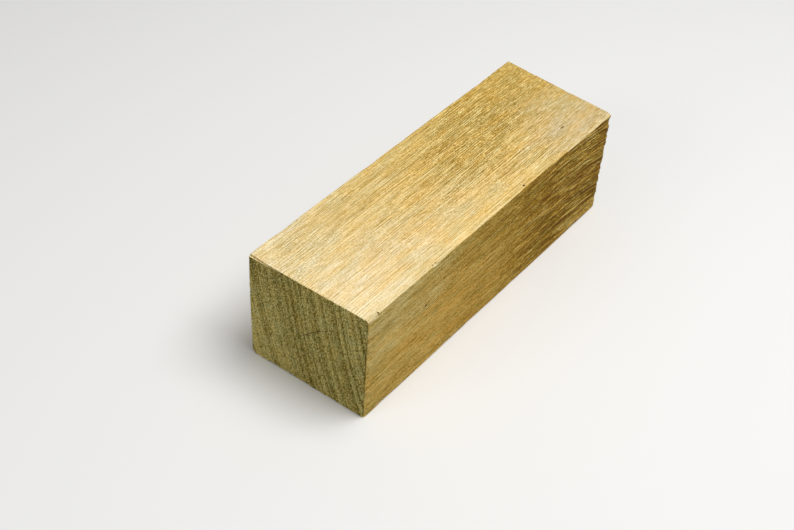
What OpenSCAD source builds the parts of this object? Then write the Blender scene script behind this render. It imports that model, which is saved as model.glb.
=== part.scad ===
// Sawn wooden block: one offcut of square-edged timber, cut by hand at both ends.
//
// Frame: millimetres, +Z up. The origin is at the middle of the underside's bounding box.
// +X runs along the grain, from the clean near end to the torn far end, and +Y points to
// the block's left as seen from its near end. The block stands on Z = 0.

/* [Timber] */
// Length along the left side, which is the longer one
block_length = 216; // [150:1:300]
// Width of the section
block_width = 70; // [55:1:90]
// Height of the section
block_height = 62; // [48:1:85]
// Flat worn along each of the four long edges
edge_flat = 0.5; // [0.2:0.1:1]

/* [Far end] */
// Angle by which the far cut is out of square in plan, which shortens the right side
far_skew = 4.8; // [0:0.1:8]
// Angle by which the far cut leans in towards its foot
far_lean = 0.9; // [0:0.1:3]
// Number of splinters torn out of the upright right edge where the saw broke through
tear_count = 7; // [1:1:12]
// Depth of the deepest of those tears, into the right side
tear_depth = 1; // [0.4:0.1:2]
// Length of the deepest of those tears along the grain
tear_length = 3; // [1.5:0.5:6]

/* [False start of the saw, top left of the near end] */
// Length of the false start along the top of the end
start_length = 17; // [8:1:26]
// How far down the false start went before the saw was moved over
start_drop = 1; // [0.4:0.1:2]
// How far it is set back at the left side
start_setback = 1.1; // [0.3:0.1:2]

/* [Drying check in the near end] */
// Length of the check
check_length = 27; // [10:1:34]
// Widest opening of the check
check_width = 0.6; // [0.3:0.1:1.2]
// How far the check runs into the block
check_depth = 9; // [3:1:20]
// Slope of the check, up to the right
check_slope = 39; // [15:1:60]
// Middle of the check, from the left side
check_from_left = 33.5; // [26:0.5:36]
// Middle of the check, below the top face
check_from_top = 29.5; // [18:0.5:32]

/* [Knocked corners and edges] */
// Length of the splinter lost from the top right edge at the near end
splinter_length = 8; // [5:0.5:20]
// Width of the scar that the splinter left on each face
splinter_width = 1; // [0.6:0.1:3]
// Length of the top right edge that is rubbed down at the far end
rub_length = 45; // [20:1:55]
// Width of the rubbed flat on each face
rub_width = 1; // [0.6:0.1:2]
// Distance of the nick in the top right edge from the near end
nick_from_end = 49; // [32:1:70]
// Length of the nick along the edge
nick_length = 4; // [2:0.5:8]
// Depth of the nick
nick_depth = 0.9; // [0.5:0.1:1.5]
// Length of the shaving lost from the foot of the left side at the near end
shave_length = 30; // [10:1:40]
// Depth of that shaving at the corner
shave_depth = 1.5; // [0.4:0.1:2.5]
// How far up the end that shaving reaches
shave_height = 52; // [20:1:54]
// Size of the chip lost from the foot of the near end, on the left
foot_chip = 3.6; // [1:0.1:5]

/* [Borer holes] */
// Diameter of a borer hole
hole_d = 1.6; // [0.8:0.1:2]
// Depth of a borer hole
hole_depth = 7; // [3:0.5:12]
// Hole in the right side, from the near end
side_hole_from_end = 45; // [30:1:70]
// Hole in the right side, below the top face
side_hole_from_top = 22; // [12:1:30]
// Hole beside the top right edge, from the near end
edge_hole_from_end = 127; // [90:1:130]
// Hole beside the top right edge, in from the right side
edge_hole_from_side = 2.2; // [2:0.1:5]
// Worm pit in the top face, short of the far end's left corner
pit_from_far_end = 34; // [20:1:45]
// Worm pit in the top face, in from the right side
pit_from_side = 13.5; // [8:0.5:22]
// Length of the pit along the grain
pit_length = 3; // [1.5:0.1:5]
// Width of the pit
pit_width = 1; // [0.6:0.1:1.6]
// Depth of the pit
pit_depth = 1.4; // [0.5:0.1:3]

/* [Hidden] */
wood = [0.84, 0.70, 0.43];  // pale honey of fresh sapwood
slack = 2;                  // how far each cutter stands clear of the wood
near_x = -block_length / 2; // plane of the near end
far_x = block_length / 2;   // the far end's left corner
left_y = block_width / 2;   // plane of the left side
right_y = -block_width / 2; // plane of the right side
skew_run = block_width * tan(far_skew);        // length that the skew takes off the right side
tear_pitch = block_height / (tear_count + 1);  // spacing of the tears up the far edge
golden_angle = 137.5;       // steps the tears through deep and shallow without a repeat
hole_sides = 24;

// A pointed oval on the X axis, with its belly a little to one side of its middle.
module pointed_oval(length, width) {
    tip = length / 2;
    belly = width / 2;
    polygon([
        [-tip, 0], [-tip / 3, -belly], [tip / 2, -belly],
        [tip, 0], [tip / 2, belly], [-tip / 3, belly]
    ]);
}

// A cutter for a corner whose wood lies towards +X, +Y and +Z. Its plane crosses the three
// edges a, b and c away from the corner.
module corner_cut(a, b, c) {
    normal = [1 / a, 1 / b, 1 / c];
    distance = 1 / norm(normal);
    reach = max(a, b, c) + slack;
    rotate([0, acos(normal.z * distance), atan2(normal.y, normal.x)])
        translate([-reach, -reach, distance - reach])
            cube([2 * reach, 2 * reach, reach]);
}

// The timber as it came from the mill, with a flat worn along each long edge and a square far end.
module timber() {
    top = block_height;
    in_y = left_y - edge_flat;
    translate([near_x, 0, 0])
        rotate([90, 0, 90])
            linear_extrude(height = block_length)
                polygon([
                    [right_y, edge_flat], [-in_y, 0], [in_y, 0], [left_y, edge_flat],
                    [left_y, top - edge_flat], [in_y, top], [-in_y, top], [right_y, top - edge_flat]
                ]);
}

// Everything beyond the far saw cut, which turns on the far end's top left corner.
module far_cut() {
    translate([far_x, left_y, block_height - edge_flat])
        rotate([0, 0, -far_skew])
            rotate([0, far_lean, 0])
                translate([0, -2 * block_width, -2 * block_height])
                    cube([block_length, 3 * block_width, 3 * block_height]);
}

// Splinters torn out of the far end's right edge: V notches, deep and shallow in turn, whose
// bottoms run out on the right side.
module far_tears() {
    for (i = [1 : tear_count]) {
        share = 0.65 + 0.35 * sin(i * golden_angle);
        bite = share * tear_depth;
        run = share * tear_length;
        height = tear_pitch * (0.8 + 0.4 * cos(i * golden_angle));
        middle = i * tear_pitch;
        edge_x = far_x - skew_run - (block_height - middle) * tan(far_lean);
        reach = run + bite;
        spread = height / bite * (bite + reach) / 2;
        translate([edge_x, right_y + bite, middle])
            rotate([90, 0, 90 + atan2(bite, run)])
                linear_extrude(height = 4 * reach, center = true)
                    polygon([[0, 0], [-bite - reach, -spread], [-bite - reach, spread]]);
    }
}

// The saw's false start: a shallow cut set back from the end, which runs out to the right
// and leaves a narrow ledge.
module false_start() {
    run = start_setback / start_length;
    translate([near_x, left_y, block_height - start_drop])
        linear_extrude(height = start_drop + slack)
            polygon([
                [-slack, slack], [start_setback + slack * run, slack],
                [0, -start_length], [-slack, -start_length]
            ]);
}

// Drying check: a slit in the end grain that closes towards both tips and with its depth.
module drying_check() {
    translate([near_x, left_y - check_from_left, block_height - check_from_top])
        rotate([-check_slope, 0, 0])
            intersection() {
                rotate([90, 0, 90])
                    linear_extrude(height = 2 * check_depth, center = true)
                        pointed_oval(check_length, check_width);
                rotate([90, 0, 0])
                    linear_extrude(height = check_length, center = true)
                        polygon([
                            [-slack, -check_width], [0, -check_width / 2], [check_depth, 0],
                            [0, check_width / 2], [-slack, check_width]
                        ]);
            }
}

// A flat taken off the top right edge from x = 0 on towards +X, as wide as width on each face.
module edge_flat_cut(length, width) {
    side = width * sqrt(2);
    rotate([45, 0, 0])
        translate([0, -side, -side / 2])
            cube([length, 2 * side, side]);
}

// Scar of the splinter lost from the top right edge: a flat that stops short at a torn step.
module splinter_scar() {
    translate([near_x - slack, right_y, block_height])
        edge_flat_cut(splinter_length + slack, splinter_width);
}

// Top right edge where it is rubbed down, up to the far end.
module rubbed_edge() {
    translate([far_x - skew_run - rub_length, right_y, block_height])
        edge_flat_cut(rub_length + skew_run + slack, rub_width);
}

// Nick in the top right edge, steep on the near side and running out on the other.
module nick() {
    opening = nick_depth + slack;
    translate([near_x + nick_from_end, right_y, block_height])
        rotate([45, 0, 0])
            translate([0, slack * 2, -nick_depth])
                rotate([90, 0, 0])
                    linear_extrude(height = slack * 4)
                        polygon([
                            [0, 0], [nick_length * opening / nick_depth, opening],
                            [-opening / 3, opening]
                        ]);
}

// Shaving lost from the left side, deepest at the near end's foot.
module left_shave() {
    translate([near_x, left_y, 0])
        mirror([0, 1, 0])
            corner_cut(shave_length, shave_depth, shave_height);
}

// Chip lost from the foot of the near end, on the left.
module foot_corner_chip() {
    translate([near_x, left_y, 0])
        mirror([0, 1, 0])
            corner_cut(foot_chip, 1.15 * foot_chip, foot_chip);
}

// Borer holes: one in the right side, and one in the top face beside its right edge.
module borer_holes() {
    translate([near_x + side_hole_from_end, right_y, block_height - side_hole_from_top])
        rotate([90, 0, 0])
            translate([0, 0, -hole_depth])
                cylinder(d = hole_d, h = hole_depth + slack, $fn = hole_sides);
    translate([near_x + edge_hole_from_end, right_y + edge_hole_from_side, block_height - hole_depth])
        cylinder(d = hole_d, h = hole_depth + slack, $fn = hole_sides);
}

// Worm pit: a short trench along the grain in the top face.
module worm_pit() {
    translate([far_x - pit_from_far_end, right_y + pit_from_side, block_height - pit_depth])
        linear_extrude(height = pit_depth + slack)
            pointed_oval(pit_length, pit_width);
}

module wooden_block() {
    color(wood)
        difference() {
            timber();
            far_cut();
            far_tears();
            false_start();
            drying_check();
            splinter_scar();
            rubbed_edge();
            nick();
            left_shave();
            foot_corner_chip();
            borer_holes();
            worm_pit();
        }
}

wooden_block();
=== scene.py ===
"""Looks of a sawn block of bare timber: its worn shape, its grain and the studio around it.

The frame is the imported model's own: metres, +X along the grain from the near end to the far
end, +Y to the block's left, and the block stands on Z = 0.
"""

import logging
import math
from collections.abc import Callable, Iterator
from contextlib import contextmanager
from dataclasses import dataclass
from enum import Enum

import bmesh
import bpy
import numpy as np
from mathutils import Matrix, Quaternion, Vector


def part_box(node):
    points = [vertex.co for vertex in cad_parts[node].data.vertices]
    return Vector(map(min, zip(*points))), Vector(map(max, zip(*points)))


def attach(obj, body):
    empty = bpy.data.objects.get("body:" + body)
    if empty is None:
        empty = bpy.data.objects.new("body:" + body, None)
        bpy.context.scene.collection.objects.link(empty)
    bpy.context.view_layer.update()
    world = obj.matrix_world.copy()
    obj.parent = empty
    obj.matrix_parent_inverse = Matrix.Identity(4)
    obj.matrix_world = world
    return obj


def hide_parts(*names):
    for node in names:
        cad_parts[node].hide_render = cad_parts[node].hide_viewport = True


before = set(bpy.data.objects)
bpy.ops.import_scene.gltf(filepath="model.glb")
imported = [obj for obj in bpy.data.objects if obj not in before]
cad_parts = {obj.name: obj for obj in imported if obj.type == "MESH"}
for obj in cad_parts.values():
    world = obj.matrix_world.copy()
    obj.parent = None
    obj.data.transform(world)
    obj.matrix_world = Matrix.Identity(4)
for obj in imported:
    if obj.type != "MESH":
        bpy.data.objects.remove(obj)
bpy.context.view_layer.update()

log = logging.getLogger("wooden_block")
MM = 0.001
Triple = tuple[float, float, float]
# Planes of the block's faces, in millimetres
(NEAR_X, RIGHT_Y, FOOT_Z), (FAR_X, LEFT_Y, TOP_Z) = (
    [round(side / MM, 3) for side in corner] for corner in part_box("wooden_block")
)


class Axis(Enum):
    """An axis of the block."""

    ALONG = 0
    ACROSS = 1
    UP = 2


class Face(Enum):
    """A face of the block: its axis, and which way a hollow in it is pressed."""

    NEAR = (0, 1)
    FAR = (0, -1)
    RIGHT = (1, 1)
    LEFT = (1, -1)
    FOOT = (2, 1)
    TOP = (2, -1)


# ---------------------------------------------------------------------------------------------
# Bench tools: meshes shaped with the modelling operators
# ---------------------------------------------------------------------------------------------


@dataclass(frozen=True)
class Relief:
    """A pattern of shallow hollows that wear, the saw or torn grain leaves in a surface.

    Attributes:
        name: What left the hollows.
        size: How large one hollow is along X, Y and Z.
        depth: The deepest that it goes below the surface.
        detail: How many finer layers are laid over the main one.
        slope: How far its pattern is turned about Y, in radians.
        deepest: The level of the pattern, from 0 to 1, below which it is at its deepest.
        spared: The level above which the surface is left as it was.
    """

    name: str
    size: Triple
    depth: float
    detail: int = 2
    slope: float = 0.0
    deepest: float = 0.1
    spared: float = 0.7


class Workpiece:
    """One mesh on the bench."""

    def __init__(self, obj: bpy.types.Object) -> None:
        """Takes hold of an object.

        Args:
            obj: The mesh object to work on.
        """
        self.obj = obj

    @classmethod
    def settled(cls, name: str) -> "Workpiece":
        """Names the primitive that was just added and puts its place into its mesh.

        Args:
            name: The object's name.

        Returns:
            The piece, with its object at the origin.
        """
        obj = bpy.context.object
        obj.name = name
        obj.data.name = name
        bpy.ops.object.transform_apply(location=True, rotation=True, scale=True)
        return cls(obj)

    @classmethod
    def box(cls, name: str, low: Vector, high: Vector) -> "Workpiece":
        """Cuts out a plain box.

        Args:
            name: The object's name.
            low: Its lowest corner.
            high: Its highest corner.

        Returns:
            The box.
        """
        bpy.ops.object.select_all(action="DESELECT")
        bpy.ops.mesh.primitive_cube_add(size=1, location=(low + high) / 2, scale=high - low)
        return cls.settled(name)

    @classmethod
    def rod(cls, name: str, radius: float, tip: float, start: Vector, end: Vector) -> "Workpiece":
        """Makes a round rod, which may taper.

        Args:
            name: The object's name.
            radius: Its radius at the start.
            tip: Its radius at the end.
            start: Where its axis starts.
            end: Where its axis ends.

        Returns:
            The rod.
        """
        run = end - start
        bpy.ops.object.select_all(action="DESELECT")
        bpy.ops.mesh.primitive_cone_add(
            vertices=16,
            radius1=radius,
            radius2=tip,
            depth=run.length,
            location=(start + end) / 2,
            rotation=run.to_track_quat("Z", "Y").to_euler(),
        )
        return cls.settled(name)

    @classmethod
    def lens(cls, name: str, centre: Vector, radii: Vector, turn: Triple) -> "Workpiece":
        """Makes a flattened ball.

        Args:
            name: The object's name.
            centre: Its middle.
            radii: Its half lengths before it is turned.
            turn: Its rotation about its middle.

        Returns:
            The lens.
        """
        bpy.ops.object.select_all(action="DESELECT")
        bpy.ops.mesh.primitive_uv_sphere_add(
            segments=24, ring_count=16, radius=1, location=centre, rotation=turn, scale=radii
        )
        return cls.settled(name)

    def alone(self) -> None:
        """Selects this piece and nothing else."""
        bpy.ops.object.select_all(action="DESELECT")
        self.obj.select_set(True)
        bpy.context.view_layer.objects.active = self.obj

    @contextmanager
    def editing(self, kind: str) -> Iterator[bmesh.types.BMesh]:
        """Opens the mesh in edit mode with nothing selected.

        Args:
            kind: VERT, EDGE or FACE, the kind of element to select.

        Yields:
            The mesh being edited.
        """
        self.alone()
        bpy.ops.object.mode_set(mode="EDIT")
        bpy.ops.mesh.select_mode(type=kind)
        bpy.ops.mesh.select_all(action="DESELECT")
        mesh = bmesh.from_edit_mesh(self.obj.data)
        yield mesh
        bpy.ops.object.mode_set(mode="OBJECT")

    def place(self, turn: Quaternion, at: Vector) -> None:
        """Turns the piece about the origin and then moves it.

        Args:
            turn: How it is turned.
            at: Where the origin goes.
        """
        self.alone()
        self.obj.matrix_world = Matrix.Translation(at) @ turn.to_matrix().to_4x4()
        bpy.ops.object.transform_apply(location=True, rotation=True, scale=True)

    def move(self, wanted: Callable[[Vector], bool], by: Triple) -> None:
        """Moves the vertices that lie in a place.

        Args:
            wanted: Tells from a vertex's place whether it moves.
            by: How far it moves.
        """
        with self.editing("VERT") as mesh:
            for vertex in mesh.verts:
                vertex.select_set(wanted(vertex.co))
            bpy.ops.transform.translate(value=by)

    def divide(self, axis: Axis, count: int) -> None:
        """Divides every edge that runs along an axis into equal parts.

        Args:
            axis: The axis.
            count: The number of parts, which is even.
        """
        for cuts in (1, count // 2 - 1):
            with self.editing("EDGE") as mesh:
                for edge in mesh.edges:
                    run = edge.verts[1].co - edge.verts[0].co
                    edge.select_set(abs(run[axis.value]) > 0.9 * run.length)
                bpy.ops.mesh.subdivide(number_cuts=cuts)

    def ease(self, width: float, segments: int) -> None:
        """Rounds every sharp edge over.

        Args:
            width: How far the rounding reaches from the edge.
            segments: How many faces it has.
        """
        with self.editing("EDGE") as mesh:
            for edge in mesh.edges:
                edge.select_set(edge.calc_face_angle(0) > math.radians(45))
            bpy.ops.mesh.bevel(offset=width, segments=segments, profile=0.5, affect="EDGES")

    def places(self) -> np.ndarray:
        """Reads where the vertices are.

        Returns:
            One row for each vertex.
        """
        flat = np.empty(3 * len(self.obj.data.vertices))
        self.obj.data.vertices.foreach_get("co", flat)
        return flat.reshape(-1, 3)

    def record(self, name: str, values: np.ndarray) -> None:
        """Stores a value at each vertex, for the finish to read.

        Args:
            name: The attribute's name.
            values: Each vertex's value.
        """
        layer = self.obj.data.attributes.new(name, "FLOAT", "POINT")
        layer.data.foreach_set("value", values.astype(np.float32))

    def emboss(self, relief: Relief, face: Face, weights: np.ndarray) -> None:
        """Presses a relief straight into one face.

        Args:
            relief: The relief.
            face: The face.
            weights: How strongly each vertex is pressed, from 0 to 1.
        """
        axis, inward = face.value
        group = self.obj.vertex_groups.new(name=relief.name)
        for index in np.flatnonzero(weights > 0.01):
            group.add([int(index)], float(weights[index]), "REPLACE")
        pattern = bpy.data.textures.new(relief.name, "CLOUDS")
        pattern.noise_scale = 1.0
        pattern.noise_depth = relief.detail
        pattern.use_color_ramp = True
        levels = pattern.color_ramp.elements
        levels[0].position, levels[1].position = relief.deepest, relief.spared
        levels[0].color = opaque((0, 0, 0))
        bpy.ops.object.empty_add(rotation=(0, relief.slope, 0))
        ruler = bpy.context.object
        ruler.scale = Vector(relief.size) * MM
        self.alone()
        press = self.obj.modifiers.new(relief.name, "DISPLACE")
        press.direction = "XYZ"[axis]
        press.texture = pattern
        press.texture_coords = "OBJECT"
        press.texture_coords_object = ruler
        press.mid_level = 1.0
        press.strength = -inward * relief.depth * MM
        press.vertex_group = group.name
        bpy.context.view_layer.update()
        bpy.ops.object.modifier_apply(modifier=press.name)
        self.obj.vertex_groups.clear()
        bpy.data.objects.remove(ruler)
        bpy.data.textures.remove(pattern)

    def combine(self, other: "Workpiece", operation: str) -> None:
        """Adds another piece to this one, or cuts its shape out of it.

        Args:
            other: The other piece, which is used up.
            operation: UNION or DIFFERENCE.
        """
        self.alone()
        cut = self.obj.modifiers.new("cut", "BOOLEAN")
        cut.operation = operation
        cut.solver = "MANIFOLD"
        cut.material_mode = "TRANSFER"
        cut.object = other.obj
        bpy.ops.object.modifier_apply(modifier=cut.name)
        bpy.data.objects.remove(other.obj)


# ---------------------------------------------------------------------------------------------
# Finish tools: node trees written as expressions
# ---------------------------------------------------------------------------------------------


class Value:
    """A number that changes over a surface. A sum written on it adds its Math nodes."""

    def __init__(self, graph: "Graph", socket: bpy.types.NodeSocket) -> None:
        """Wraps a socket.

        Args:
            graph: The tree that the socket is in.
            socket: The output socket that gives the number.
        """
        self.graph = graph
        self.socket = socket

    def _math(self, operation: str, *terms: "Value | float") -> "Value":
        """Adds one Math node.

        Args:
            operation: The node's operation.
            *terms: What goes into it, in order.

        Returns:
            Its result.
        """
        inputs = dict(enumerate(terms))
        return self.graph.node("ShaderNodeMath", {"operation": operation}, inputs)

    def __add__(self, other: "Value | float") -> "Value":
        """Adds."""
        return self._math("ADD", self, other)

    def __sub__(self, other: "Value | float") -> "Value":
        """Takes away."""
        return self._math("SUBTRACT", self, other)

    def __rsub__(self, other: float) -> "Value":
        """Takes away from a number."""
        return self._math("SUBTRACT", other, self)

    def __mul__(self, other: "Value | float") -> "Value":
        """Multiplies."""
        return self._math("MULTIPLY", self, other)

    def __truediv__(self, other: "Value | float") -> "Value":
        """Divides."""
        return self._math("DIVIDE", self, other)

    def power(self, exponent: float) -> "Value":
        """Raises to a power."""
        return self._math("POWER", self, exponent)

    def above(self, floor: float) -> "Value":
        """Keeps the number from falling below a floor."""
        return self._math("MAXIMUM", self, floor)

    def size(self) -> "Value":
        """Gives the number without its sign."""
        return self._math("ABSOLUTE", self)

    def fraction(self) -> "Value":
        """Gives the part behind the point."""
        return self._math("FRACT", self)

    def wave(self) -> "Value":
        """Gives the sine."""
        return self._math("SINE", self)

    def step(self, low: float, high: float) -> "Value":
        """Rises smoothly from 0 to 1.

        Args:
            low: Where it leaves 0.
            high: Where it reaches 1.

        Returns:
            The step.
        """
        settings = {"interpolation_type": "SMOOTHSTEP"}
        inputs = {"Value": self, "From Min": low, "From Max": high}
        return self.graph.node("ShaderNodeMapRange", settings, inputs)


class Graph:
    """The node tree of one material, or of the sky."""

    def __init__(self, owner: bpy.types.Material | bpy.types.World) -> None:
        """Starts an empty tree.

        Args:
            owner: The new material or sky.
        """
        self.owner = owner
        owner.use_nodes = True
        self.tree = owner.node_tree
        self.tree.nodes.clear()

    def node(
        self,
        kind: str,
        settings: dict[str, object] | None = None,
        inputs: dict[int | str, object] | None = None,
        output: int | str = 0,
    ) -> Value:
        """Adds a node.

        Args:
            kind: The node's type.
            settings: Its settings, with a ramp's stops under "stops".
            inputs: The values or links of its sockets.
            output: The one of its outputs that is wanted.

        Returns:
            That output.
        """
        made = self.tree.nodes.new(kind)
        for name, setting in (settings or {}).items():
            if name == "stops":
                self._set_stops(made.color_ramp, setting)
            else:
                setattr(made, name, setting)
        for name, value in (inputs or {}).items():
            if isinstance(value, Value):
                self.tree.links.new(value.socket, made.inputs[name])
            else:
                made.inputs[name].default_value = value
        return Value(self, made.outputs[output])

    @staticmethod
    def _set_stops(ramp: bpy.types.ColorRamp, stops: list[tuple[float, Triple]]) -> None:
        """Sets a ramp's colours.

        Args:
            ramp: The ramp.
            stops: Each colour's place and the colour.
        """
        while len(ramp.elements) < len(stops):
            ramp.elements.new(1.0)
        for element, (place, colour) in zip(ramp.elements, stops):
            element.position = place
            element.color = (*colour, 1)

    def vector(self, operation: str, *terms: object) -> Value:
        """Adds one Vector Math node."""
        return self.node("ShaderNodeVectorMath", {"operation": operation}, dict(enumerate(terms)))

    def combine(self, x: "Value | float", y: "Value | float", z: "Value | float") -> Value:
        """Makes a vector of three numbers."""
        return self.node("ShaderNodeCombineXYZ", None, {0: x, 1: y, 2: z})

    def split(self, vector: Value) -> tuple[Value, Value, Value]:
        """Takes a vector apart.

        Args:
            vector: The vector.

        Returns:
            Its X, Y and Z.
        """
        first = self.node("ShaderNodeSeparateXYZ", None, {0: vector})
        outputs = first.socket.node.outputs
        return first, Value(self, outputs[1]), Value(self, outputs[2])

    def blend(self, share: "Value | float", first: object, second: object) -> Value:
        """Mixes two colours.

        Args:
            share: The second colour's share.
            first: The first colour.
            second: The second colour.

        Returns:
            The mixed colour.
        """
        settings = {"data_type": "RGBA", "clamp_factor": True}
        return self.node("ShaderNodeMix", settings, {0: share, 6: first, 7: second}, 2)

    def tint(self, share: Value, colour: Value, tint: Triple) -> Value:
        """Multiplies a colour by a tint.

        Args:
            share: How much of the tint is taken.
            colour: The colour.
            tint: The tint.

        Returns:
            The tinted colour.
        """
        settings = {"data_type": "RGBA", "blend_type": "MULTIPLY", "clamp_factor": True}
        return self.node("ShaderNodeMix", settings, {0: share, 6: colour, 7: opaque(tint)}, 2)

    def seen(self) -> Value:
        """Tells what the camera looks at, straight, by a gloss or through glass.

        Returns:
            1 for a ray that the camera sees by, and else 0.
        """
        path = self.node("ShaderNodeLightPath", output="Is Camera Ray")
        outputs = path.socket.node.outputs
        seen = path + Value(self, outputs["Is Glossy Ray"])
        return seen + Value(self, outputs["Is Transmission Ray"])

    def wood(self, colour: Value, roughness: Value, specular: float, height: Value) -> Value:
        """Makes the shader of bare wood.

        Args:
            colour: Its colour.
            roughness: How matt it is.
            specular: How strongly it shines.
            height: Its finest relief, in millimetres.

        Returns:
            The shader.
        """
        relief = {"Height": height, "Distance": MM, "Strength": 1.0}
        inputs = {
            "Base Color": colour,
            "Roughness": roughness,
            "Specular IOR Level": specular,
            "Normal": self.node("ShaderNodeBump", None, relief),
        }
        return self.node("ShaderNodeBsdfPrincipled", None, inputs)

    def finish(self, shader: Value, kind: str = "Material") -> bpy.types.Material | bpy.types.World:
        """Connects the surface.

        Args:
            shader: The finished shader.
            kind: What it is for, Material or World.

        Returns:
            The material or sky.
        """
        surface = self.tree.nodes.new(f"ShaderNodeOutput{kind}")
        self.tree.links.new(shader.socket, surface.inputs["Surface"])
        return self.owner


def opaque(colour: Triple) -> tuple[float, float, float, float]:
    """Gives a colour its alpha."""
    return (*colour, 1.0)


# ---------------------------------------------------------------------------------------------
# The timber's own pattern
# ---------------------------------------------------------------------------------------------


@dataclass(frozen=True)
class Growth:
    """How the tree grew, in millimetres from the middle of the block's underside.

    Attributes:
        pith_y: Where the middle of the tree lay, across the block.
        pith_z: Where it lay, above the underside.
        ring: Width of a year's growth.
        bend_from: Where along the block the fibres start to turn down.
        bend: How quickly they turn.
        sway: How far the fibres wander to the side.
    """

    pith_y: float = -290.0
    pith_z: float = 109.0
    ring: float = 3.9
    bend_from: float = 35.0
    bend: float = 0.0011
    sway: float = 1.4


@dataclass(frozen=True)
class Streaks:
    """One layer of streaks that follow the fibres.

    Attributes:
        length: How long a streak is, in millimetres.
        width: How wide it is.
        amount: How many tones it is paler or darker.
        detail: How many finer layers it holds.
    """

    length: float
    width: float
    amount: float
    detail: float = 1.0


@dataclass(frozen=True)
class Zone:
    """A place where the colour or the texture changes, as a soft egg.

    Attributes:
        centre: Its middle, in millimetres.
        radii: Its half lengths.
        strength: How strongly it counts.
        soft: How gradually it fades, as a share of its radii.
    """

    centre: Triple
    radii: Triple
    strength: float = 1.0
    soft: float = 0.5


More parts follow.
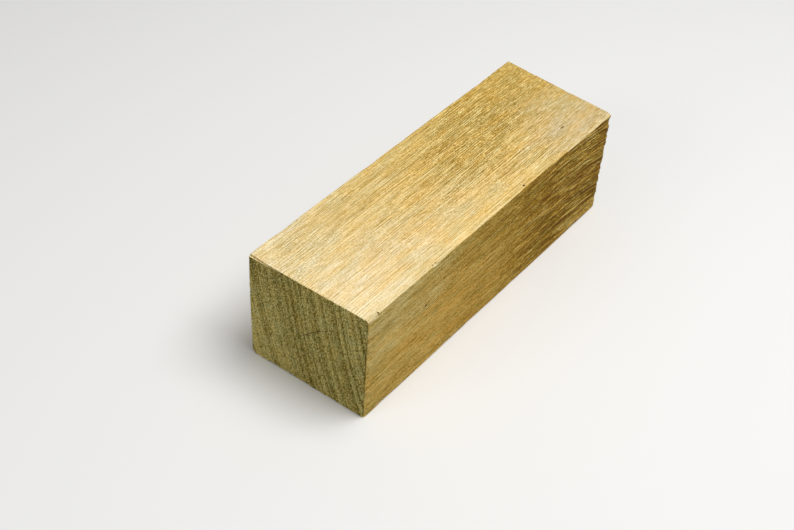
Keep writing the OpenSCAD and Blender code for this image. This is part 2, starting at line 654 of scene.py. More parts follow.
class Timber:
    """The log's growth, as patterns that run right through the block.

    Everything is counted in millimetres, and each layer swings evenly about 0 by about 1.
    """

    NOISE_SWING = 0.115

    def __init__(self, graph: Graph, growth: Growth) -> None:
        """Lays out the coordinates that follow the fibres.

        Args:
            graph: The material's node tree.
            growth: How the tree grew.
        """
        self.graph = graph
        self.growth = growth
        self.seed = 0.0
        places = graph.node("ShaderNodeTexCoord", output="Object")
        self.place = graph.vector("MULTIPLY", places, (1 / MM, 1 / MM, 1 / MM))
        self.x, self.y, self.z = graph.split(self.place)
        facing = graph.node("ShaderNodeTexCoord", output="Normal")
        across = [part.size() for part in graph.split(facing)]
        self.on_end = across[0].step(0.55, 0.8)
        self.on_top = across[2].step(0.55, 0.8)
        turn = (self.x - growth.bend_from).above(0)
        drift = turn * turn * growth.bend
        wander = graph.vector("SUBTRACT", self._sway((130, 40, 40)), (0.5, 0.5, 0.5))
        wander = graph.vector("MULTIPLY", wander, (0, 2 * growth.sway, 2 * growth.sway))
        shift = graph.vector("ADD", wander, graph.combine(0, 0, drift))
        self.fibre = graph.vector("ADD", self.place, shift)
        _, self.fibre_y, self.fibre_z = graph.split(self.fibre)
        from_y = self.fibre_y - growth.pith_y
        from_z = self.fibre_z - growth.pith_z
        self.radius = (from_y * from_y + from_z * from_z).power(0.5)

    def _sway(self, size: Triple) -> Value:
        """Gives three smooth noises at once, from 0 to 1.

        Args:
            size: How large the noise is along X, Y and Z.

        Returns:
            A vector.
        """
        scale = tuple(1 / length for length in size)
        scaled = self.graph.vector("MULTIPLY", self.place, scale)
        inputs = {"Vector": scaled, "Scale": 1.0, "Detail": 1.0}
        return self.graph.node("ShaderNodeTexNoise", None, inputs, 1)

    def _mapped(self, size: Triple) -> Value:
        """Scales the fibres' coordinates and takes a fresh place in them.

        Args:
            size: The length that counts as 1 along, across and up.

        Returns:
            The coordinates.
        """
        self.seed += 7.31
        scale = tuple(1 / length for length in size)
        location = (self.seed, 2.3 * self.seed, -self.seed)
        inputs = {"Vector": self.fibre, "Scale": scale, "Location": location}
        return self.graph.node("ShaderNodeMapping", None, inputs)

    def layer(self, size: Triple, detail: float = 1.0, rough: float = 0.5) -> Value:
        """Gives a noise that is drawn out along the fibres.

        Args:
            size: How large it is along, across and up.
            detail: How many finer noises it holds.
            rough: How strong those are.

        Returns:
            The layer.
        """
        inputs = {"Vector": self._mapped(size), "Scale": 1.0, "Detail": detail, "Roughness": rough}
        noise = self.graph.node("ShaderNodeTexNoise", None, inputs)
        return (noise - 0.5) / self.NOISE_SWING

    def weave(self, *layers: Streaks) -> Value:
        """Adds up layers of streaks.

        Args:
            *layers: The layers.

        Returns:
            Their sum.
        """
        total = None
        for each in layers:
            size = (each.length, each.width, each.width)
            part = self.layer(size, each.detail) * each.amount
            total = part if total is None else total + part
        return total

    def comb(self, across: Value, pitch: float) -> Value:
        """Gives fine, nearly even lines along the fibres, which come and go.

        Args:
            across: How far across the fibres a place is.
            pitch: The usual distance between two lines.

        Returns:
            The lines.
        """
        drift = self.layer((60, 4, 4), 2.0) * 1.8
        strength = self.layer((12, 2, 2)).step(-1.5, 1.5)
        return (across * (math.tau / pitch) + drift).wave() * strength * 2.0

    def _along_radius(self, width: float, length: float, detail: float) -> Value:
        """Gives a noise that only changes from ring to ring.

        Args:
            width: How wide it is across the rings.
            length: How far along the block it lasts.
            detail: How many finer noises it holds.

        Returns:
            The noise, about 0.
        """
        self.seed += 3.7
        depth = self.graph.combine(self.radius / width, self.x / length, self.seed)
        inputs = {"Vector": depth, "Scale": 1.0, "Detail": detail}
        return (self.graph.node("ShaderNodeTexNoise", None, inputs) - 0.5) / self.NOISE_SWING

    def rings(self) -> Value:
        """Gives the years' growth: slowly paler outwards, and then dark at once.

        Returns:
            The rings, about 0.
        """
        unevenness = self._along_radius(10.0, 160.0, 1.0)
        count = self.radius / self.growth.ring + unevenness * 0.55
        share = count.fraction()
        return (share.step(-0.1, 0.72) - share.step(0.80, 1.0) - 0.5) * 2.6

    def ring_lines(self, width: float) -> Value:
        """Gives the finer lines between the rings.

        Args:
            width: How wide they are.

        Returns:
            The lines.
        """
        return self._along_radius(width, 90.0, 1.0)

    def zones(self, *zones: Zone) -> Value:
        """Adds up the places where something changes.

        Args:
            *zones: The places.

        Returns:
            The sum of their strengths.
        """
        graph = self.graph
        ragged = self.layer((22, 6, 6)) * 0.14
        total = None
        for zone in zones:
            from_centre = graph.vector("SUBTRACT", self.place, zone.centre)
            shares = graph.vector("DIVIDE", from_centre, zone.radii)
            length = graph.node("ShaderNodeVectorMath", {"operation": "LENGTH"}, {0: shares}, "Value")
            inside = 1 - (length + ragged).step(1 - zone.soft, 1 + zone.soft)
            part = inside * zone.strength
            total = part if total is None else total + part
        return total


@dataclass(frozen=True)
class Palette:
    """A face's colours, from four tones darker than usual to four tones paler."""

    TONES = 8

    darkest: Triple
    dark: Triple
    usual: Triple
    pale: Triple
    palest: Triple

    def colour(self, graph: Graph, tone: Value) -> Value:
        """Turns tones into colours.

        Args:
            graph: The material's node tree.
            tone: The tone at each place.

        Returns:
            The colour there.
        """
        colours = (self.darkest, self.dark, self.usual, self.pale, self.palest)
        stops = [(index / 4, colour) for index, colour in enumerate(colours)]
        share = tone / self.TONES + 0.5
        return graph.node("ShaderNodeValToRGB", {"stops": stops}, {0: share})


@dataclass(frozen=True)
class SawnTimber:
    """Bare timber as the saw left it: pale long faces and olive end grain.

    Attributes:
        growth: How the tree grew.
        top: Colours of the top and the underside.
        side: Colours of the two sides, darker than the top's: partly the wood's own colour, partly
            painted shade.
        end: Colours of the end grain.
        roughness: How matt it is.
        darkening: How many tones the long faces darken for each millimetre towards the far end.
        saw_pitch: How far apart two marks of the saw are, in millimetres.
        saw_slant: How far the marks are out of square, in radians of their wave a millimetre.
    """

    growth: Growth = Growth()
    top: Palette = Palette(
        (0.32, 0.187, 0.025), (0.49, 0.324, 0.088), (0.70, 0.50, 0.195), (0.955, 0.726, 0.36),
        (1.0, 0.87, 0.50),
    )
    # Partly painted shade: the sides are darker and more saturated than the top.
    side: Palette = Palette(
        (0.195, 0.088, 0.001), (0.34, 0.187, 0.010), (0.60, 0.37, 0.060), (0.88, 0.60, 0.155),
        (0.97, 0.77, 0.27),
    )
    end: Palette = Palette(
        (0.12, 0.083, 0.006), (0.26, 0.188, 0.025), (0.45, 0.34, 0.068), (0.68, 0.53, 0.145),
        (0.88, 0.70, 0.22),
    )
    roughness: float = 0.82
    darkening: float = 0.007
    saw_pitch: float = 1.45
    saw_slant: float = 0.12

    def top_tone(self, timber: Timber, hollow: Value) -> Value:
        """Works out how pale or dark the top is.

        Args:
            timber: The timber's pattern.
            hollow: How far the surface is torn away, from 0 to 1; it darkens the torn hollows as
                painted shade.

        Returns:
            The tone.
        """
        long = timber.weave(
            Streaks(80, 0.6, 0.30),
            Streaks(24, 0.55, 0.48),
            Streaks(14, 1.2, 0.16),
            Streaks(80, 4.0, 0.12, 2.0),
            Streaks(30, 6.0, 0.09, 2.0),
        )
        short = timber.weave(
            Streaks(9, 0.5, 0.50), Streaks(3.5, 0.5, 0.40), Streaks(0.9, 0.5, 0.70)
        )
        combed = timber.comb(timber.fibre_y, 1.2) * 0.55 + timber.comb(timber.fibre_y, 1.75) * 0.25
        lively = timber.zones(
            Zone((45, 5, 62), (85, 40, 40), 0.6, 0.5),
            Zone((42, 6, 62), (42, 24, 18), 0.55, 0.5),
            Zone((84, -12, 62), (26, 20, 18), -0.6, 0.4),
            Zone((48, -8, 62), (9, 7, 18), -0.7, 0.4),
        )
        curl = timber.zones(
            Zone((42, 4, 62), (36, 20, 18), 1.0, 0.6),
            Zone((50, -9, 62), (10, 6, 18), -0.8, 0.3),
            Zone((-94, 12, 62), (13, 9, 18), 0.6, 0.7),
        )
        flecked = (1 - timber.x.step(-100, -45)) * timber.y.step(-20, 15)
        dashes = timber.layer((3.4, 0.55, 0.55)).step(0.5, 2.2)
        shade = timber.zones(
            Zone((10, 30, 62), (22, 8, 20), 0.4, 0.8),
            Zone((48, 14, 62), (56, 24, 30), -0.45),
            Zone((-10, 10, 62), (70, 18, 30), -0.25),
            Zone((-62, 24, 62), (40, 8, 20), -0.3),
            Zone((60, 22, 62), (70, 20, 30), -0.3, 0.8),
            Zone((-60, -27, 62), (80, 13, 20), 0.45),
            Zone((50, -9, 62), (10, 7, 20), 0.5, 0.4),
        )
        tone = long * (lively * 0.4 + 0.9 - flecked * 0.45) + short * flecked * 0.5
        tone = tone + (short + combed) * (lively + 0.8) + shade - timber.x * self.darkening
        # Painted shade: the torn hollows are darkened by how deep they are.
        return tone - dashes * (curl * 1.2 + 0.3) - hollow * 0.4

    def side_tone(self, timber: Timber, hollow: Value) -> Value:
        """Works out how pale or dark the sides are.

        Args:
            timber: The timber's pattern.
            hollow: How far the surface is torn away, from 0 to 1; it darkens the torn hollows as
                painted shade.

        Returns:
            The tone.
        """
        fine = timber.weave(
            Streaks(70, 0.6, 0.45),
            Streaks(20, 0.6, 0.60),
            Streaks(6, 0.6, 0.70),
            Streaks(2.4, 0.6, 0.60),
            Streaks(0.9, 0.5, 1.10),
            Streaks(40, 1.5, 0.28),
            Streaks(9, 1.4, 0.30),
            Streaks(26, 2.6, 0.26),
        )
        fine = fine + timber.comb(timber.fibre_z, 1.4) * 0.70
        broad = timber.weave(Streaks(60, 5.0, 0.25, 2.0), Streaks(16, 4.5, 0.22, 2.0))
        torn = timber.weave(
            Streaks(34, 0.9, 1.1), Streaks(18, 2.2, 0.5), Streaks(14, 0.8, 0.8), Streaks(5, 0.6, 0.6)
        )
        torn_side = timber.x.step(0, 75)
        shade = timber.zones(
            Zone((62, -35, 48), (80, 16, 17), -0.4),
            Zone((-88, -35, 52), (45, 16, 18), 0.55),
            Zone((-30, -35, 30), (70, 16, 20), 0.3),
            Zone((88, -35, 34), (50, 16, 38), -0.7, 0.8),
            # Painted shade towards the far upper end of the side, where the torn relief casts too
            # little shadow.
            Zone((101, -35, 36), (16, 16, 20), -0.8, 0.6),
            Zone((-66, -35, 30), (40, 16, 14), 0.55),
            Zone((-10, -35, 8), (60, 16, 12), 0.2),
            Zone((-54, -35, 9), (18, 14, 15), 0.8, 0.8),
            Zone((12, -35, 56), (24, 16, 12), -0.35, 0.8),
            Zone((32, -35, 20), (20, 16, 30), -0.4, 0.8),
            Zone((44, -35, 14), (34, 16, 18), -0.75, 0.7),
            Zone((80, -35, 3), (34, 16, 9), 0.6, 0.6),
        )
        tone = fine * (torn_side * 0.4 + 0.8) + broad + torn * (torn_side * 1.1 + 0.12) + shade
        tone = tone + (1 - timber.z.step(0.3, 1.1)) * 0.9
        # Painted shade: the torn hollows are darkened by how deep they are.
        return tone + timber.rings() * 0.12 - hollow * 0.5 - timber.x * self.darkening

    def end_tone(self, timber: Timber) -> Value:
        """Works out how pale or dark the end grain is.

        Args:
            timber: The timber's pattern.

        Returns:
            The tone.
        """
        rings = timber.rings()
        lines = timber.ring_lines(0.6) * 0.4 + timber.ring_lines(1.3) * 0.4
        speckle = timber.weave(
            Streaks(30, 0.5, 3.2), Streaks(30, 1.0, 1.2), Streaks(30, 2.5, 0.25), Streaks(30, 8, 0.3)
        )
        dots = timber.layer((30, 0.8, 0.8)).step(0.5, 2.0)
        shade = timber.zones(
            Zone((-108, 29, 56), (20, 12, 14), -0.9),
            Zone((-108, -24, 8), (20, 20, 20), -0.5),
            Zone((-108, 26, 30), (20, 14, 30), 1.0),
            Zone((-108, 16, 5), (20, 12, 10), 0.8),
            Zone((-108, -26, 54), (20, 14, 14), 0.25),
            Zone((-108, 34, 22), (20, 7, 32), 0.4),
            # Painted shadow: a dark line on the end grain along its right upright edge.
            Zone((-108, -35, 31), (20, 1.0, 34), -2.6, 0.5),
        )
        bands = timber.ring_lines(4.5) * 1.1
        rim = 1 - timber.z.step(0.3, 1.0)
        tone = rings * 1.0 + bands + lines + speckle + shade + rim
        return tone - dots * (1.4 - rings * 0.5)

    def material(self) -> bpy.types.Material:
        """Makes the finish.

        Returns:
            The material.
        """
        graph = Graph(bpy.data.materials.new("sawn_timber"))
        timber = Timber(graph, self.growth)
        # How deep the torn hollows are, which the tones turn into painted shade.
        hollow = graph.node("ShaderNodeAttribute", {"attribute_name": "hollow"}, output="Fac")
        top_tone = self.top_tone(timber, hollow)
        side_tone = self.side_tone(timber, hollow)
        end_tone = self.end_tone(timber)
        long_tone = side_tone + (top_tone - side_tone) * timber.on_top
        colour = graph.blend(
            timber.on_top, self.side.colour(graph, side_tone), self.top.colour(graph, top_tone)
        )
        colour = graph.blend(timber.on_end, colour, self.end.colour(graph, end_tone))
        colour = self.weathered(timber, colour)
        saw_marks = (timber.x * (math.tau / self.saw_pitch) + timber.y * self.saw_slant).wave()
        long_height = long_tone * 0.035 + saw_marks * 0.008
        height = long_height + (end_tone * 0.02 - long_height) * timber.on_end
        roughness = long_tone * 0.015 + self.roughness
        return graph.finish(graph.wood(colour, roughness, 0.15, height))

    def weathered(self, timber: Timber, colour: Value) -> Value:
        """Tints the places that have aged in their own way.

        Args:
            timber: The timber's pattern.
            colour: The colour before.

        Returns:
            The colour after.
        """
        faded = timber.zones(Zone((88, -18, 62), (30, 24, 26), 1.0, 0.7)) * timber.on_top
        olive = timber.zones(Zone((-76, -35, 60), (40, 14, 18), 0.6, 0.8)) * (1 - timber.on_top)
        amber = timber.zones(Zone((-58, -35, 22), (56, 14, 20), 0.9, 0.8)) * (1 - timber.on_end)
        warmed = timber.layer((20, 5, 5), 3.0, 0.7).step(-2.0, 2.0)
        spared = timber.zones(Zone((60, -32, 62), (80, 16, 20), 0.5, 0.7))
        golden = timber.x.step(-110, 70) * timber.on_top * (1 - spared)
        silvery = timber.zones(Zone((-30, -14, 62), (80, 12, 20), 0.6, 0.8)) * timber.on_top
        tints = (
            (1 - timber.x.step(-110, -20), (1.02, 1.09, 1.30)),
            (golden, (0.98, 0.95, 0.72)),
            (faded, (0.99, 1.08, 1.65)),
            (silvery, (0.99, 1.01, 1.18)),
            (olive * (1 - timber.on_end), (0.98, 1.08, 1.45)),
            (1 - warmed, (0.96, 1.028, 1.17)),
            (warmed, (1.04, 0.965, 0.81)),
            (amber, (1.05, 0.97, 0.84)),
        )
        for share, tint in tints:
            colour = timber.graph.tint(share, colour, tint)
        return colour


@dataclass(frozen=True)
class TornTimber:
    """Wood laid bare by a knock or a torn splinter: paler, and rough along the fibres."""

    growth: Growth = Growth()
    colours: Palette = Palette(
        (0.34, 0.22, 0.07), (0.54, 0.39, 0.14), (0.78, 0.61, 0.29), (0.92, 0.79, 0.48),
        (1.0, 0.92, 0.68),
    )

    def material(self) -> bpy.types.Material:
        """Makes the finish.

        Returns:
            The material.
        """
        graph = Graph(bpy.data.materials.new("torn_timber"))
        timber = Timber(graph, self.growth)
        fibres = timber.weave(Streaks(9, 0.5, 0.7), Streaks(1.2, 0.7, 0.5))
        colour = self.colours.colour(graph, fibres)
        return graph.finish(graph.wood(colour, fibres * 0.02 + 0.88, 0.25, fibres * 0.06))


@dataclass(frozen=True)
class BorerDustAndShade:
    """The dark wall of an insect's boring or of a crack: packed dust, and painted shade."""

    growth: Growth = Growth()
    # Darker than the timber: partly the dust, partly painted shade for the hollow's depth.
    colours: Palette = Palette(
        (0.10, 0.05, 0.015), (0.18, 0.095, 0.03), (0.28, 0.155, 0.05), (0.38, 0.23, 0.08),
        (0.46, 0.30, 0.12),
    )

    def material(self) -> bpy.types.Material:
        """Makes the finish.

        Returns:
            The material.
        """
        graph = Graph(bpy.data.materials.new("borer_dust_and_shade"))
        timber = Timber(graph, self.growth)
        dust = timber.layer((0.8, 0.5, 0.5), 2.0)
        colour = self.colours.colour(graph, dust)
        return graph.finish(graph.wood(colour, dust * 0.02 + 0.93, 0.15, dust * 0.05))


# ---------------------------------------------------------------------------------------------
# The block
# ---------------------------------------------------------------------------------------------


@dataclass(frozen=True)
class Knock:
    """Wood lost from a corner or an edge, down to a rough flat.

    Attributes:
        name: What it is.
        place: The corner, or the middle of the piece of edge, in millimetres.
        reach: How far it reaches into the wood along each axis, and 0 along an edge.
        length: How much of the edge it takes.
        rough: How deep the roughness of the flat is.
        sawn: Whether the flat looks sawn, like the rest of the block, and not torn.
    """

    name: str
    place: Triple
    reach: Triple
    length: float = 0.0
    rough: float = 0.25
    sawn: bool = False

    def tool(self, finish: bpy.types.Material) -> Workpiece:
        """Makes the shape to take away.

        Args:
            finish: The finish that the flat gets.

        Returns:
            The shape.
        """
        inward = Vector([1 / reach if reach else 0 for reach in self.reach])
        depth = 1 / inward.length
        outward = -inward.normalized()
        grain = Vector([0 if reach else 1 for reach in self.reach])
        if grain.length == 0:
            grain = Vector((1, 0, 0)) - outward * outward.x
        grain.normalize()
        turn = Matrix((grain, outward.cross(grain), outward)).transposed().to_quaternion()
        span = 1.5 * max(abs(reach) for reach in self.reach) + 1
        half = self.length / 2 if self.length else span
        low = Vector((-half, -span, -depth))
        high = Vector((half, span, 2 * depth + 1))
        tool = Workpiece.box(self.name, low * MM, high * MM)
        tool.divide(Axis.ALONG, self._parts(2 * half))
        tool.divide(Axis.ACROSS, self._parts(2 * span))
        cutting = tool.places()[:, 2] < low.z * 0.9 * MM
        tool.emboss(Relief(self.name, (5, 1.2, 1.2), self.rough), Face.FOOT, cutting.astype(float))
        tool.place(turn, Vector(self.place) * MM)
        tool.obj.data.materials.append(finish)
        return tool

    @staticmethod
    def _parts(length: float) -> int:
        """Tells how finely a length is divided: an even number of parts."""
        return 2 * min(24, max(2, round(0.6 * length)))


@dataclass(frozen=True)
class Pit:
    """A hollow shaped like a lens.

    Attributes:
        name: What it is.
        place: Its middle, in millimetres.
        radii: Its half lengths.
        slope: How far it is turned about the grain, in degrees.
    """

    name: str
    place: Triple
    radii: Triple
    slope: float = 0.0

    def tool(self, finish: bpy.types.Material) -> Workpiece:
        """Makes the shape to take away.

        Args:
            finish: The finish that the hollow gets.

        Returns:
            The shape.
        """
        turn = (math.radians(self.slope), 0, 0)
        tool = Workpiece.lens(self.name, Vector(self.place) * MM, Vector(self.radii) * MM, turn)
        tool.obj.data.materials.append(finish)
        return tool


@dataclass(frozen=True)
class Boring:
    """A round hole that an insect left.

    Attributes:
        name: What it is.
        mouth: The middle of its mouth, in millimetres.
        run: Where it leads from there.
        width: Its diameter.
    """

    name: str
    mouth: Triple
    run: Triple
    width: float = 1.6

    def tool(self, finish: bpy.types.Material) -> Workpiece:
        """Makes the shape to take away.

        Args:
            finish: The finish that the hole gets.

        Returns:
            The shape.
        """
        run = Vector(self.run)
        mouth = Vector(self.mouth) - run.normalized()
        bottom = Vector(self.mouth) + run
        radius = self.width / 2 * MM
        tool = Workpiece.rod(self.name, radius, 0.8 * radius, mouth * MM, bottom * MM)
        tool.obj.data.materials.append(finish)
        return tool


TORN_GRAIN = Relief("torn_grain", (18, 1.7, 1.7), 0.55, 2, math.radians(7), 0.2, 0.6)
SAW_WANDER = Relief("saw_wander", (80, 40, 40), 0.25, 2)
EDGE_BRUISES = Relief("edge_bruises", (14, 6, 6), 0.32, 3, 0, 0.15, 0.5)
FAR_TEARS = Relief("far_tears", (6, 6, 6), 0.7, 3, 0, 0.15, 0.6)
NEAR_TEARS = Relief("near_tears", (3, 3, 2.5), 0.6, 2, 0, 0.2, 0.6)
KNOCKS = (
    Knock("splinter_scar", (NEAR_X + 3.8, RIGHT_Y, TOP_Z), (0, 1.5, -2.2), 7.6, 0.5),
    Knock("rubbed_edge", (FAR_X - 27, RIGHT_Y, TOP_Z), (0, 1.3, -1.2), 46, 0.3),
    Knock("shave", (NEAR_X, LEFT_Y, FOOT_Z), (30, -1.5, 52), rough=0.15, sawn=True),
    Knock("foot_chip", (NEAR_X, LEFT_Y, FOOT_Z), (3.6, -4.1, 3.6)),
    Knock("false_start", (NEAR_X, LEFT_Y, TOP_Z), (1.1, -17, 0), length=2.0, rough=0.2),
    Knock("far_top_corner", (FAR_X - 5.9, RIGHT_Y, TOP_Z), (-1.9, 1.9, -1.5)),
    Knock("far_foot_corner", (FAR_X - 6.9, RIGHT_Y, FOOT_Z), (-2.2, 1.8, 2.2)),
)
BORINGS = (
    Boring("side_hole", (NEAR_X + 45, RIGHT_Y, TOP_Z - 22), (0.6, 6.5, -0.8)),
    Boring("edge_hole", (NEAR_X + 127.3, RIGHT_Y + 1.7, TOP_Z), (0.3, 0.6, -3.0), 1.35),
)
PITS = (
    Pit("nick", (NEAR_X + 50.6, RIGHT_Y, TOP_Z), (2.4, 0.9, 0.8)),
    Pit("nick_near", (NEAR_X + 49.1, RIGHT_Y + 0.6, TOP_Z), (0.28, 0.9, 0.5)),
    Pit("nick_far", (NEAR_X + 51.4, RIGHT_Y + 0.8, TOP_Z), (0.25, 0.7, 0.4)),
    Pit("scar_step", (NEAR_X + 7.7, RIGHT_Y + 0.6, TOP_Z - 0.1), (0.3, 0.8, 0.6)),
    Pit("hole_tail", (NEAR_X + 46.8, RIGHT_Y - 0.15, TOP_Z - 21.5), (1.5, 0.25, 0.22)),
    Pit("worm_pit", (FAR_X - 34, RIGHT_Y + 13.5, TOP_Z), (1.6, 0.5, 0.55)),
    # The crack on the near end is cut only a fraction of a millimetre deep, so its dark finish paints
    # most of its shade.
    Pit("check_foot", (NEAR_X, 8.9, 25.4), (3.0, 4.2, 0.07), -36),
    Pit("check_low", (NEAR_X, 4.4, 28.9), (4.5, 4.0, 0.12), -39),
    Pit("check_middle", (NEAR_X, -0.4, 33.2), (6.0, 4.4, 0.20), -42),
    Pit("check_high", (NEAR_X, -5.4, 37.6), (6.0, 4.4, 0.22), -40),
    Pit("check_upper", (NEAR_X, -10.9, 41.5), (4.0, 4.0, 0.10), -33),
    Pit("check_tip", (NEAR_X, -16.8, 45.0), (3.0, 4.2, 0.06), -29),
)


@dataclass
class SawnBlock:
    """The block: one timber, sawn by hand at both ends, with its wear.

    Attributes:
        far_skew: How far the far end is out of square in plan.
        far_lean: How far it leans in towards its foot.
        parts_along: How many parts the grid has along the block.
        parts_across: How many it has across.
        parts_up: How many it has upwards.
        skin: How deep behind a face the wood gives way with it.
        eased: How far the edges are rounded over.
    """

    far_skew: float = math.radians(4.8)
    far_lean: float = math.radians(0.9)
    parts_along: int = 144
    parts_across: int = 104
    parts_up: int = 92
    skin: float = 4.0
    eased: float = 0.35 * MM

    def build(self) -> bpy.types.Object:
        """Saws, wears and dresses the block.

        Returns:
            The finished piece.
        """
        self.low, self.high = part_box("wooden_block")
        self.piece = self.sawn()
        self.wear()
        self.carve()
        self.piece.alone()
        bpy.ops.object.shade_smooth_by_angle(angle=math.radians(40))
        return self.piece.obj

    def sawn(self) -> Workpiece:
        """Saws the block to size, with the far end out of square, and grids its faces.

        Returns:
            The block, with its sawn finish.
        """
        middle = (self.low + self.high) / 2
        skew_run = (self.high.y - self.low.y) * math.tan(self.far_skew)
        lean_run = (self.high.z - self.low.z) * math.tan(self.far_lean)
        piece = Workpiece.box("sawn_block", self.low, self.high)
        piece.move(lambda at: at.x > middle.x and at.y < middle.y, (-skew_run, 0, 0))
        piece.move(lambda at: at.x > middle.x and at.z < middle.z, (-lean_run, 0, 0))
        piece.divide(Axis.ALONG, self.parts_along)
        piece.divide(Axis.ACROSS, self.parts_across)
        piece.divide(Axis.UP, self.parts_up)
        piece.obj.data.materials.append(SawnTimber().material())
        return piece

    def depths(self) -> dict[Face, np.ndarray]:
        """Gives how far the vertices lie behind the faces.

        Returns:
            For each face, one depth for each vertex, in millimetres.
        """
        at = self.piece.places() / MM
        low, high = np.array(self.low) / MM, np.array(self.high) / MM
        depths = {}
        for face in Face:
            axis, inward = face.value
            plane = low if inward > 0 else high
            depths[face] = inward * (at - plane)[:, axis]
        depths[Face.FAR] -= depths[Face.LEFT] * math.tan(self.far_skew)
        depths[Face.FAR] -= depths[Face.TOP] * math.tan(self.far_lean)
        return depths

    @staticmethod
    def _near(depth: np.ndarray, reach: float) -> np.ndarray:
        """Gives 1 at a face and 0 from a reach on, in millimetres."""
        return np.clip(1 - depth / reach, 0, 1)

    def wear(self) -> None:
        """Presses in the reliefs that the saw, torn grain and handling left."""
        depths = self.depths()
        along = depths[Face.NEAR]
        skin = {face: self._near(depths[face], self.skin) for face in Face}
        torn = {
            Face.RIGHT: np.clip((along - 95) / 60, 0, 1)
            * np.clip(depths[Face.TOP] / 4, 0.15, 1)
            * np.clip(depths[Face.FOOT] / 9, 0.3, 1),
            Face.LEFT: np.clip((along - 60) / 90, 0, 0.3),
        }
        before = self.piece.places()
        for face, weights in torn.items():
            self.piece.emboss(TORN_GRAIN, face, weights * skin[face])
        # How deep the torn grain sank each vertex, kept for the finish to paint shade into the
        # hollows.
        sunk = np.linalg.norm(self.piece.places() - before, axis=1) / MM
        self.piece.record("hollow", np.clip(sunk / 0.45, 0, 1) ** 1.5)
        for face in Face:
            self.piece.emboss(SAW_WANDER, face, skin[face])
            lateral = [other for other in Face if other.value[0] != face.value[0]]
            rim = np.minimum.reduce([depths[other] for other in lateral])
            self.piece.emboss(EDGE_BRUISES, face, skin[face] * self._near(rim, 2.5))
        for face, end in ((Face.RIGHT, Face.FAR), (Face.FAR, Face.RIGHT)):
            self.piece.emboss(FAR_TEARS, face, skin[face] * self._near(depths[end], 3.5))
        for face, end in ((Face.RIGHT, Face.NEAR), (Face.NEAR, Face.RIGHT)):
            self.piece.emboss(NEAR_TEARS, face, skin[face] * self._near(depths[end], 2.0))
        self.piece.ease(self.eased, 2)

    def carve(self) -> None:
        """Cuts out the knocks, the false start of the saw, the borings and the crack."""
        torn = TornTimber().material()
        dust_and_shade = BorerDustAndShade().material()
        sawn = self.piece.obj.data.materials[0]
        tools = [knock.tool(sawn if knock.sawn else torn) for knock in KNOCKS]
        # The borings and the pits other than the nick take the dark finish, which paints shade into
        # them.
        tools += [boring.tool(dust_and_shade) for boring in BORINGS]
        tools += [pit.tool(torn if pit.name == "nick" else dust_and_shade) for pit in PITS]
        cutter = tools[0]
        for tool in tools[1:]:
            cutter.combine(tool, "UNION")
        self.piece.combine(cutter, "DIFFERENCE")


# ---------------------------------------------------------------------------------------------
# The studio
# ---------------------------------------------------------------------------------------------


@dataclass(frozen=True)
class Viewpoint:
    """Where the camera stands.

    Attributes:
        aim: The point on the floor that it looks at.
        distance: How far away it is.
        heading: Which way it looks, from +X towards +Y.
        height: How steeply it looks down.
        roll: How far it is turned to the left.
        lens: Its focal length for a sensor 36 mm wide, in millimetres.
    """

    aim: Triple = (-0.0107, 0.0187, 0.0)
    distance: float = 0.7527
    heading: float = math.radians(34.37)
    height: float = math.radians(41.06)
    roll: float = math.radians(4.02)
    lens: float = 64.93

    def set_up(self) -> None:
        """Makes the camera."""
        flat = math.cos(self.height)
        forward = Vector(
            (flat * math.cos(self.heading), flat * math.sin(self.heading), -math.sin(self.height))
        )
        turn = forward.to_track_quat("-Z", "Y") @ Quaternion((0, 0, 1), self.roll)
        place = Vector(self.aim) - self.distance * forward
        bpy.ops.object.camera_add(location=place, rotation=turn.to_euler())
        camera = bpy.context.object
        camera.data.lens = self.lens
        camera.data.sensor_width = 36
        bpy.context.scene.camera = camera


@dataclass(frozen=True)
class Softbox:
    """A square lamp.

    Attributes:
        name: Its name.
        place: Where it hangs. It faces the origin.
        width: Its width.
        level: The share of a plain light that it gives a surface that faces it.
    """

    name: str
    place: Triple
    width: float
    level: float

    def hang(self) -> None:
        """Makes the lamp."""
        place = Vector(self.place)
        bpy.ops.object.light_add(
            type="AREA", location=place, rotation=place.to_track_quat("Z", "Y").to_euler()
        )
        lamp = bpy.context.object
        lamp.name = self.name
        lamp.data.shape = "SQUARE"
        lamp.data.size = self.width
        lamp.data.energy = self.level * (math.pi * place.length) ** 2


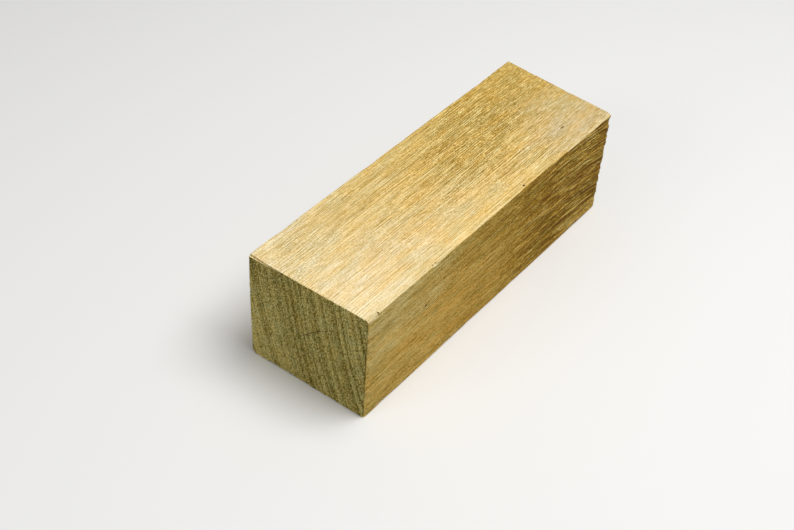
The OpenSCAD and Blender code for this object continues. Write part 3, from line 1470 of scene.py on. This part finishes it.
@dataclass(frozen=True)
class Studio:
    """A pale floor, soft lamps and a pale sky."""

    floor_width: float = 14.0
    floor_shown: Triple = (0.86, 0.855, 0.84)
    floor_bounce: Triple = (0.26, 0.25, 0.24)
    sky_shown: float = 0.9
    sky_level: float = 0.24
    softboxes: tuple[Softbox, ...] = (
        Softbox("overhead", (0.15, -0.34, 1.10), 0.7, 0.86),
        Softbox("near_left", (-1.05, 0.25, 0.55), 0.6, 0.16),
    )

    def set_up(self) -> None:
        """Builds the studio."""
        self.lay_floor()
        self.light_sky()
        for softbox in self.softboxes:
            softbox.hang()
        scene = bpy.context.scene
        scene.view_settings.view_transform = "Standard"
        scene.render.film_transparent = False

    def lay_floor(self) -> None:
        """Lays the floor, which looks pale and throws back only part of the light."""
        half = self.floor_width / 2
        sheet = 0.01
        low = Vector((-half, -half, -sheet))
        floor = Workpiece.box("floor", low, Vector((half, half, 0)))
        floor.ease(0.2 * sheet, 2)
        graph = Graph(bpy.data.materials.new("pale_floor"))
        shown = graph.node("ShaderNodeBsdfDiffuse", None, {"Color": opaque(self.floor_shown)})
        bounce = graph.node("ShaderNodeBsdfDiffuse", None, {"Color": opaque(self.floor_bounce)})
        shader = graph.node("ShaderNodeMixShader", None, {0: graph.seen(), 1: bounce, 2: shown})
        floor.obj.data.materials.append(graph.finish(shader))

    def light_sky(self) -> None:
        """Lights the sky, which looks pale behind the block and glows softly on it."""
        graph = Graph(bpy.data.worlds.new("pale_sky"))
        white = opaque((1, 1, 1))
        glow = graph.node("ShaderNodeBackground", None, {"Color": white, "Strength": self.sky_level})
        shown = graph.node("ShaderNodeBackground", None, {"Color": white, "Strength": self.sky_shown})
        shader = graph.node("ShaderNodeMixShader", None, {0: graph.seen(), 1: glow, 2: shown})
        bpy.context.scene.world = graph.finish(shader, "World")


def main() -> None:
    """Sets up the studio and builds the block."""
    logging.basicConfig(level=logging.INFO, format="%(name)s: %(message)s")
    Viewpoint().set_up()
    Studio().set_up()
    piece = SawnBlock().build()
    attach(piece, "root")
    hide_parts("wooden_block")
    piece.data.calc_loop_triangles()
    log.info("%s: %d triangles", piece.name, len(piece.data.loop_triangles))


if __name__ == "__main__":
    main()
